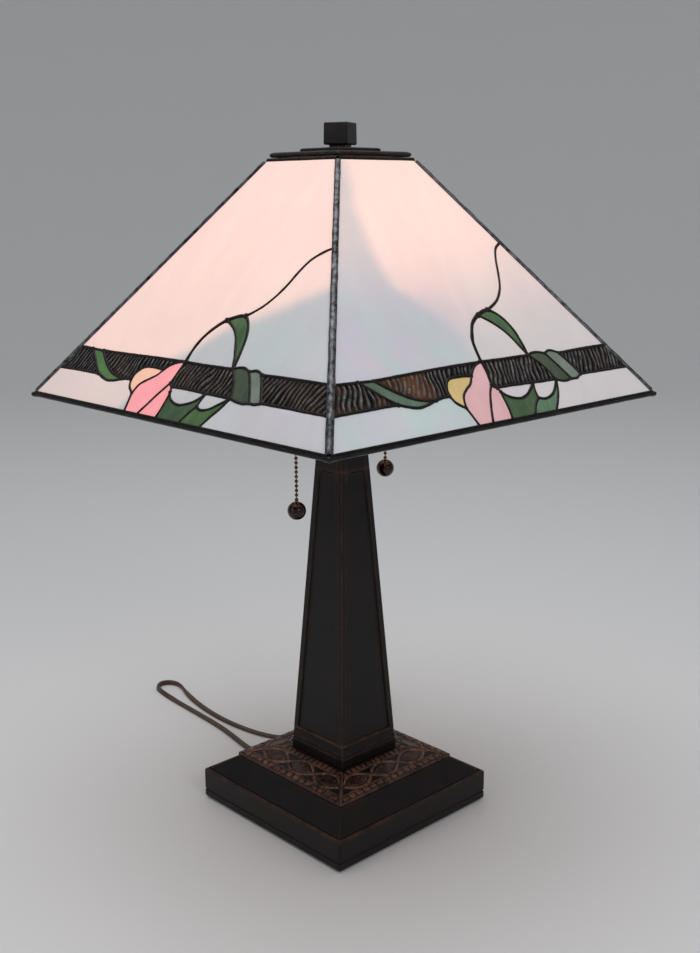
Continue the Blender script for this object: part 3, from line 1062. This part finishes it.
# cap over the top of the shade
sq = lambda pts, r=0.5, n=3: [tuple(p) for p in fillet(pts, r, n)]
cap = sq([(4.8, 546.0), (20.0, 546.0), (36.2, 546.0), (38.4, 545.3), (39.2, 544.3), (39.1, 543.2), (38.2, 542.1), (37.0, 542.1), (4.8, 542.1)], 0.5)
square_loft("cap_tray", cap, BLACKCAP, "shade", 1.2, 4, 0, "shade_cap", [0.85 if 38.3 < p[0] and p[1] > 542.6 else 0.1 for p in cap], "ring")
pl = sq([(4.8, 549.0), (20.9, 549.0), (22.3, 548.2), (22.3, 546.3), (4.8, 546.3)], 0.5)
square_loft("cap_upper_plate", pl, BLACKCAP, "shade", 0.9, 4, 0, "cap_plate", [0.5 if p[0] > 21.6 else 0.08 for p in pl], "ring")
fin = sq([(0.01, 568.0), (9.2, 568.0), (9.75, 567.4), (10.0, 552.3), (9.4, 551.4), (6.6, 551.2), (6.6, 549.6), (4.5, 549.6), (4.5, 562.0), (0.01, 562.0)], 0.35)
square_loft("finial_block", fin, BLACKCAP, "finial", 0.8, 4, math.radians(24), "finial",
            [0.6 if p[0] > 9.0 and (p[1] > 567 or p[1] < 552.4) else 0.05 for p in fin], True)


# ------------------------------------------------------------------ base, collar, column
prof = sq([(9, 39.7), (40, 39.7), (64.0, 39.7), (65.2, 39.5), (66.4, 38.8), (67.4, 38.1), (73.5, 33.7), (80.6, 28.6), (82.5, 27.2), (83.2, 26.0), (83.7, 26.0), (84.1, 27.1), (85.2, 27.2), (86.1, 26.6),
           (86.4, 25.6), (86.4, 24.6), (86.4, 17.0), (86.4, 10.0), (86.4, 9.2), (85.7, 8.7), (85.6, 7.9), (86.4, 7.4), (86.4, 6.6), (86.4, 3.4), (86.4, 2.6), (85.7, 1.5), (81.5, 1.5), (81.5, 22.0), (63.0, 35.2), (9, 35.2)], 0.3)
wear = []
for h, z in prof:
    v = 0.0
    if z > 26.5 and 83.9 < h < 86.35:
        v = 0.60
    elif 64.8 < h < 65.6 and z > 39.3:
        v = 0.30
    elif h > 86.2 and z > 25.1:
        v = 0.45
    elif h > 86.2 and (9.0 < z < 9.6 or 7.0 < z < 7.5 or z < 3):
        v = 0.15
    wear.append(v)
base = square_loft("base_body", prof, BRONZE, "lamp", 1.4, 5, 0, "base_casting", wear, "ring", along=16)


def relief(s, h):
    """Height of the collar's embossing and how far it is rubbed, at s along and h out from the middle."""
    s_, h_ = abs(s), h
    z, rub = 0.0, 0.0

    def bump(x, c, w, top):
        e = (x - c) / w
        return top * max(0.0, 1 - e * e) ** 0.6 if abs(e) < 1 else 0.0

    lim = h_ - 2.2
    if s_ < lim:
        # plain fillets
        for c, w, t in ((57.9, 0.75, 0.75), (40.2, 0.7, 0.65)):
            b = bump(h_, c, w, t)
            if b > z:
                z, rub = b, 0.75
        if 41.3 < h_ < 57.0:
            wave = 8.2 * math.cos(tau * s / 64.0)
            for sgn in (1, -1):
                c = 49.1 + sgn * wave
                slope = 8.2 * tau / 64.0 * abs(math.sin(tau * s / 64.0))
                w = 1.35 * math.sqrt(1 + slope * slope)
                b = bump(h_, c, w, 0.95)
                if b > z:
                    z, rub = b, 0.95
            gap = abs(wave) - 2.6 - abs(h_ - 49.1)
            if gap > 0:
                p = 0.62 * min(1.0, gap / 0.6)
                if p > z:
                    z, rub = p, 0.34
        if 58.9 < h_ < 63.4:
            u = (s + 200) % 7.8
            if 0.9 < u < 6.9:
                e = min(u - 0.9, 6.9 - u, h_ - 58.9, 63.4 - h_)
                p = 0.75 * min(1.0, e / 0.5)
                if p > z:
                    z, rub = p, 0.85
        if 34.6 < h_ < 38.9:
            u = (s + 200) % 5.6
            if 0.8 < u < 4.8:
                e = min(u - 0.8, 4.8 - u, h_ - 34.6, 38.9 - h_)
                p = 0.6 * min(1.0, e / 0.5)
                if p > z:
                    z, rub = p, 0.6
    e = (h_ - s_) / 1.5  # strip down the mitre
    if abs(e) < 1 and h_ > 34.5:
        p = 0.8 * (1 - e * e) ** 0.5
        if p > z:
            z, rub = p, 0.8
    g = noise.noise(Vector((s * 0.45, h * 0.45, 2.0)))
    return z + 0.08 * g, rub * (0.75 + 0.5 * g)


per = 250
hs = list(np.arange(33.0, 64.01, 0.45))
rows = [(8.0, 49.2, 0), (20.0, 49.2, 0), (32.0, 49.2, 0)] + [(h, 0, 1) for h in hs] + [(64.5, 42.9, 0), (64.8, 42.3, 0), (64.8, 40.0, 0), (8.0, 40.0, 0)]
verts, wear = [], []
for h, z, rel in rows:
    for c in range(4):
        q = pi / 2 * c
        for i in range(per):
            s = -h + 2 * h * i / per
            if rel:
                zz = 49.2 - (h - 33.0) * (6.2 / 30.6)
                up, rub = relief(s, h)
                zz = min(zz + up - 0.25, 49.35 - (h - 33.0) * 0.10)
                if h > 63.3:
                    zz -= 0.25 * (h - 63.3)
            else:
                zz, rub = z, 0.35 if h > 64.4 and z > 42 else 0.0
            verts.append((s * math.cos(q) + h * math.sin(q), s * math.sin(q) - h * math.cos(q), zz))
            wear.append(rub)
R = len(rows)
faces = grid_faces(R, per * 4, True, flip=True)
faces += [((R - 1) * per * 4 + j, (R - 1) * per * 4 + (j + 1) % (per * 4), (j + 1) % (per * 4), j)[::-1] for j in range(per * 4)]
make("collar_relief", verts, faces, RELIEF, "lamp", attrs={"wear": wear}, node="embossed_collar", sharp=50)

lean = (31.9 - 14.7) / (320.0 - 49.5)


def column_half(z):
    return 31.9 - (z - 49.5) * lean


# column: rows up the shaft, columns set from the panel's edges so its frame stays crisp
def foot_half(z):
    pts = [(49.5, 31.9), (55.8, column_half(55.8) + 0.25), (57.2, column_half(57.2) + 0.30), (58.0, column_half(58.0) - 0.35), (58.9, column_half(58.9) - 0.40),
           (59.7, column_half(59.7) + 0.35), (60.6, column_half(60.6) + 0.40), (61.3, column_half(61.3) - 0.1), (66.8, column_half(66.8) - 0.1), (67.8, column_half(67.8))]
    if z >= 67.8:
        return column_half(z)
    return float(np.interp(z, [p[0] for p in pts], [p[1] for p in pts]))


zs = [49.5, 50.2, 52.5, 55.4, 55.8, 56.6, 57.2, 57.6, 58.0, 58.5, 58.9, 59.3, 59.7, 60.2, 60.6, 60.9, 61.3, 63, 65, 66.8, 67.3, 67.8, 68.4, 68.8, 69.1, 69.4, 70.0]
zs += list(np.arange(73, 280, 3.5)) + list(np.arange(282, 297.4, 0.4)) + [299, 303, 308, 313, 316, 318, 319.4, 320.0]
verts, wear = [], []
fracs = list(np.linspace(-1, 1, 25))
for z in zs:
    H = foot_half(z)
    hw = column_half(z) - 5.2
    xs = [-1.0, None]
    flat_x = [-H + 1.1, -(hw + 1.4), -(hw + 0.25), -hw, -(hw - 0.7), -(hw - 1.1)] + [f * (hw - 1.6) for f in fracs] + [hw - 1.1, hw - 0.7, hw, hw + 0.25, hw + 1.4, H - 1.1]
    for c in range(4):
        q = pi / 2 * c
        for x in flat_x:
            dep = 0.0
            ax = abs(x)
            if z > 68.9:
                # arched head: shoulders curl in over the last 11 mm
                ztop = 296.0
                if z > 283:
                    u = (z - 283) / (ztop - 283)
                    lim = hw * (1 - 0.42 * max(0.0, u) ** 3.0) if u <= 1 else -1
                else:
                    lim = hw
                e = min(lim - ax, (z - 68.9) * 1.6, (ztop - z) * 2.0)
                dep = 1.4 * max(0.0, min(1.0, e / 0.7)) if lim > 0 else 0.0
                # sunk moulding line inside the frame
                if dep > 1.3:
                    e2 = min(hw - ax, z - 69.4, ztop - z)
                    if 1.6 < e2 < 2.6:
                        dep -= 0.25
            y = -(H - dep)
            verts.append((x * math.cos(q) - y * math.sin(q), x * math.sin(q) + y * math.cos(q), z))
            v = 0.0
            if z > 68 and -0.3 < ax - hw < 0.6:
                v = 0.30
            if z < 62 and (abs(z - 56.6) < 0.7 or abs(z - 60.2) < 0.5):
                v = 0.55
            if 67.2 < z < 69.2:
                v = 0.7
            if dep < 0.5 and 295.5 < z < 297.2:
                v = 0.35
            wear.append(v)
        # rounded arris
        for g in (0.25, 0.75):
            a = pi / 2 * g
            cx, cy = H - 1.1, -(H - 1.1)
            x, y = cx + 1.1 * math.sin(a), cy - 1.1 * math.cos(a)
            verts.append((x * math.cos(q) - y * math.sin(q), x * math.sin(q) + y * math.cos(q), z))
            wear.append(0.45)
cols = len(verts) // len(zs)
R = len(zs)
faces = grid_faces(R, cols, True)
t0, b0 = len(verts), len(verts) + 1
verts += [(0, 0, 320.0), (0, 0, 49.5)]
wear += [0, 0]
faces += [(t0, (R - 1) * cols + j, (R - 1) * cols + (j + 1) % cols) for j in range(cols)]
faces += [(b0, (j + 1) % cols, j) for j in range(cols)]
make("column_shaft", verts, faces, BRONZE, "lamp", attrs={"wear": wear}, node="column", sharp=38)
cc = sq([(5.5, 328.0), (12.0, 328.0), (13.0, 327.0), (13.0, 324.5), (17.2, 323.8), (17.8, 322.8), (17.8, 321.3), (17.0, 320.3), (5.5, 320.3)], 0.4)
square_loft("capital", cc, BRONZE, "lamp", 1.0, 4, 0, "column_cap", [0.4 if p[0] > 17.2 else 0.0 for p in cc], "ring")


# ------------------------------------------------------------------ bulbs, chains, balls
def bulb_material():
    m = Mat("bulb_frosted")
    m.set(base_color=(0.90, 0.88, 0.84))
    m.p.inputs["Roughness"].default_value = 0.16
    m.p.inputs["Emission Color"].default_value = (1.0, 0.74, 0.47, 1)
    m.link(m.ramp(m.noise(30, 2), [(0.0, 1.5), (1.0, 1.9)]), "Emission Strength")
    return m.m


BULB = bulb_material()
BEADM = metal("bead_bronze", (0.05, 0.025, 0.015), (0.17, 0.085, 0.05), (0.14, 0.3), 160, 0.95, 0.05, 500)
for side, sx in (("left", -1), ("right", 1)):
    axis = Matrix.Translation((0, 0, 0.362)) @ Matrix.Rotation(sx * math.radians(60), 4, "Y")
    glass = smooth_path([(0.0, 120.4), (4.5, 120.1), (8.5, 119.2), (16.2, 115.2), (21.6, 108.4), (24.0, 98.5), (23.2, 89.0), (19.4, 77.5), (15.4, 68.0), (14.2, 63.5)], 4)
    glass = [(max(0.0, float(r)), float(z)) for r, z in glass] + [(13.2, 62.6), (13.1, 62.0)]
    screw = []
    for i in range(8):
        z = 60.8 - i * 3.1
        screw += [(13.1, z), (12.3, z - 1.5)]
    prof = glass + screw + [(12.6, 35.0), (9.0, 32.6), (5.0, 31.2), (0.0, 31.0)]
    ob = lathe("bulb_glass_" + side, prof, BULB, "bulb_" + side, 40, axis, "bulb_" + side, sharp=60)
    ob.data.materials.append(ZINC)
    limit = 62.4 * MM
    for poly in ob.data.polygons:
        zc = sum(ob.data.vertices[i].co.z for i in poly.vertices) / len(poly.vertices)
        if zc < limit:
            poly.material_index = 1

    pivot = Matrix.Translation((sx * 50.0 * MM, 0, 0.351))
    ball_z = {"left": 269.0, "right": 288.0}[side] - 351.0
    top, low = -0.4, ball_z + 7.5 + 0.5
    pitch = 3.6
    count = int((top - low) / pitch)
    pitch = (top - low - 2.6) / (count - 1)
    verts, faces = [], []

    def add_ball(cx, cz, r, seg, ringn):
        b0 = len(verts)
        for i in range(1, ringn):
            th = pi * i / ringn
            for j in range(seg):
                a = tau * j / seg
                verts.append((cx + r * math.sin(th) * math.cos(a), r * math.sin(th) * math.sin(a), cz + r * math.cos(th)))
        tp, bt = len(verts), len(verts) + 1
        verts.extend([(cx, 0, cz + r), (cx, 0, cz - r)])
        for i in range(ringn - 2):
            for j in range(seg):
                jj = (j + 1) % seg
                faces.append((b0 + i * seg + j, b0 + (i + 1) * seg + j, b0 + (i + 1) * seg + jj, b0 + i * seg + jj))
        for j in range(seg):
            jj = (j + 1) % seg
            faces.append((tp, b0 + j, b0 + jj))
            faces.append((bt, b0 + (ringn - 2) * seg + jj, b0 + (ringn - 2) * seg + j))

    def add_rod(z1, z0, r, seg=8):
        b0 = len(verts)
        for z in (z1, z0):
            for j in range(seg):
                verts.append((r * math.cos(tau * j / seg), r * math.sin(tau * j / seg), z))
        for j in range(seg):
            jj = (j + 1) % seg
            faces.append((b0 + j, b0 + seg + j, b0 + seg + jj, b0 + jj))
        faces.append(tuple(b0 + j for j in range(seg)))
        faces.append(tuple(b0 + seg + j for j in range(seg))[::-1])

    for i in range(count):
        cz = top - 1.45 - i * pitch
        add_ball(0, cz, 1.45, 14, 9)
        if i < count - 1:
            add_rod(cz - 1.2, cz - pitch + 1.2, 0.45)
    add_rod(low + 1.6, low, 1.5, 16)  # cup that grips the ball
    make("bead_chain_" + side, verts, faces, BEADM, "chain_" + side, pivot, node="pull_chain_" + side, sharp=50)
    prof = [(0.0, ball_z + 7.5), (0.9, ball_z + 7.44)] + [(7.5 * math.sin(th), ball_z + 7.5 * math.cos(th)) for th in np.linspace(0.2, pi - 0.2, 26)] + [(0.9, ball_z - 7.44), (0.0, ball_z - 7.5)]
    lathe("ball_" + side, prof, COPPERB, "chain_" + side, 40, pivot, "pull_ball_" + side, sharp=60)

# CAD pieces that are kept, with their finishes
KEEP = {"felt_pad": None, "center_rod": BRASS, "rod_washer": ZINC, "bottom_nut": BRASS, "socket_cluster": BRASS, "socket_shell_left": BRASS, "socket_shell_right": BRASS,
        "pull_tongue_left": BRASS, "pull_tongue_right": BRASS, "upper_stem": BRASS, "shade_spider": BRASS, "top_ring": BRASS}
felt = Mat("felt_black")
felt.link(felt.ramp(felt.noise(400, 4), [(0.3, (0.012, 0.012, 0.013)), (0.7, (0.035, 0.033, 0.033))]), "Base Color")
felt.p.inputs["Roughness"].default_value = 0.95
felt.p.inputs["Sheen Weight"].default_value = 0.3
felt.bump(felt.noise(900, 3), 0.4, 0.0006)
KEEP["felt_pad"] = felt.m
for name, mat in KEEP.items():
    ob = bpy.data.objects[name]
    ob.data.materials.clear()
    ob.data.materials.append(mat)

# ------------------------------------------------------------------ stage and light
fm = Mat("stage_floor")
fm.set(base_color=(0.78, 0.78, 0.78))
fm.p.inputs["Roughness"].default_value = 0.55
# flat floor that sweeps up all round into a low wall, like a studio cove
me = bpy.data.meshes.new("floor")
ring, prof_f = 96, [(0.0, 0.0), (0.6, 0.0), (1.4, 0.0), (2.4, 0.0)] + [(2.4 + 1.8 * math.sin(q), 1.8 - 1.8 * math.cos(q)) for q in np.linspace(0.12, pi / 2, 14)] + [(4.2, 2.6), (4.2, 3.4)]
fv, ff = [(0.0, 0.0, 0.0)], []
for r, z in prof_f[1:]:
    fv += [(r * math.cos(tau * i / ring), r * math.sin(tau * i / ring), z) for i in range(ring)]
ff += [(0, 1 + i, 1 + (i + 1) % ring) for i in range(ring)]
for j in range(len(prof_f) - 2):
    for i in range(ring):
        k2 = (i + 1) % ring
        ff.append((1 + j * ring + i, 1 + (j + 1) * ring + i, 1 + (j + 1) * ring + k2, 1 + j * ring + k2))
me.from_pydata(fv, [], ff)
me.shade_smooth()
floor = bpy.data.objects.new("floor", me)
me.materials.append(fm.m)
bpy.context.scene.collection.objects.link(floor)

world = bpy.data.worlds.new("World")
bpy.context.scene.world = world
world.use_nodes = True
bg = world.node_tree.nodes["Background"]
bg.inputs[0].default_value = (0.93, 0.96, 1.0, 1)
bg.inputs[1].default_value = 0.36


def area(name, where, aim, size, power, colour=(1, 1, 1)):
    d = bpy.data.lights.new(name, "AREA")
    d.shape, d.size, d.size_y, d.energy, d.color = "RECTANGLE", size[0], size[1], power, colour
    o = bpy.data.objects.new(name, d)
    bpy.context.scene.collection.objects.link(o)
    o.location = where
    o.rotation_euler = (Vector(aim) - Vector(where)).to_track_quat("-Z", "Y").to_euler()
    return o


def around(az, dist, z):
    """A place by its bearing from the camera's side: 0 is behind the camera, positive to its right."""
    a = AZ + math.radians(az)
    return (dist * math.sin(a), -dist * math.cos(a), z)


area("ceiling", (-0.1, 0.1, 2.1), (0, 0, 0.3), (1.8, 1.8), 17.5, (0.99, 0.99, 1.0))
area("key", around(30, 1.9, 1.25), (0, 0, 0.35), (1.0, 0.9), 7.5, (0.985, 0.99, 1.0))
area("fill", around(-55, 2.0, 0.9), (0, 0, 0.3), (1.1, 1.1), 2.5, (1.0, 0.985, 0.97))
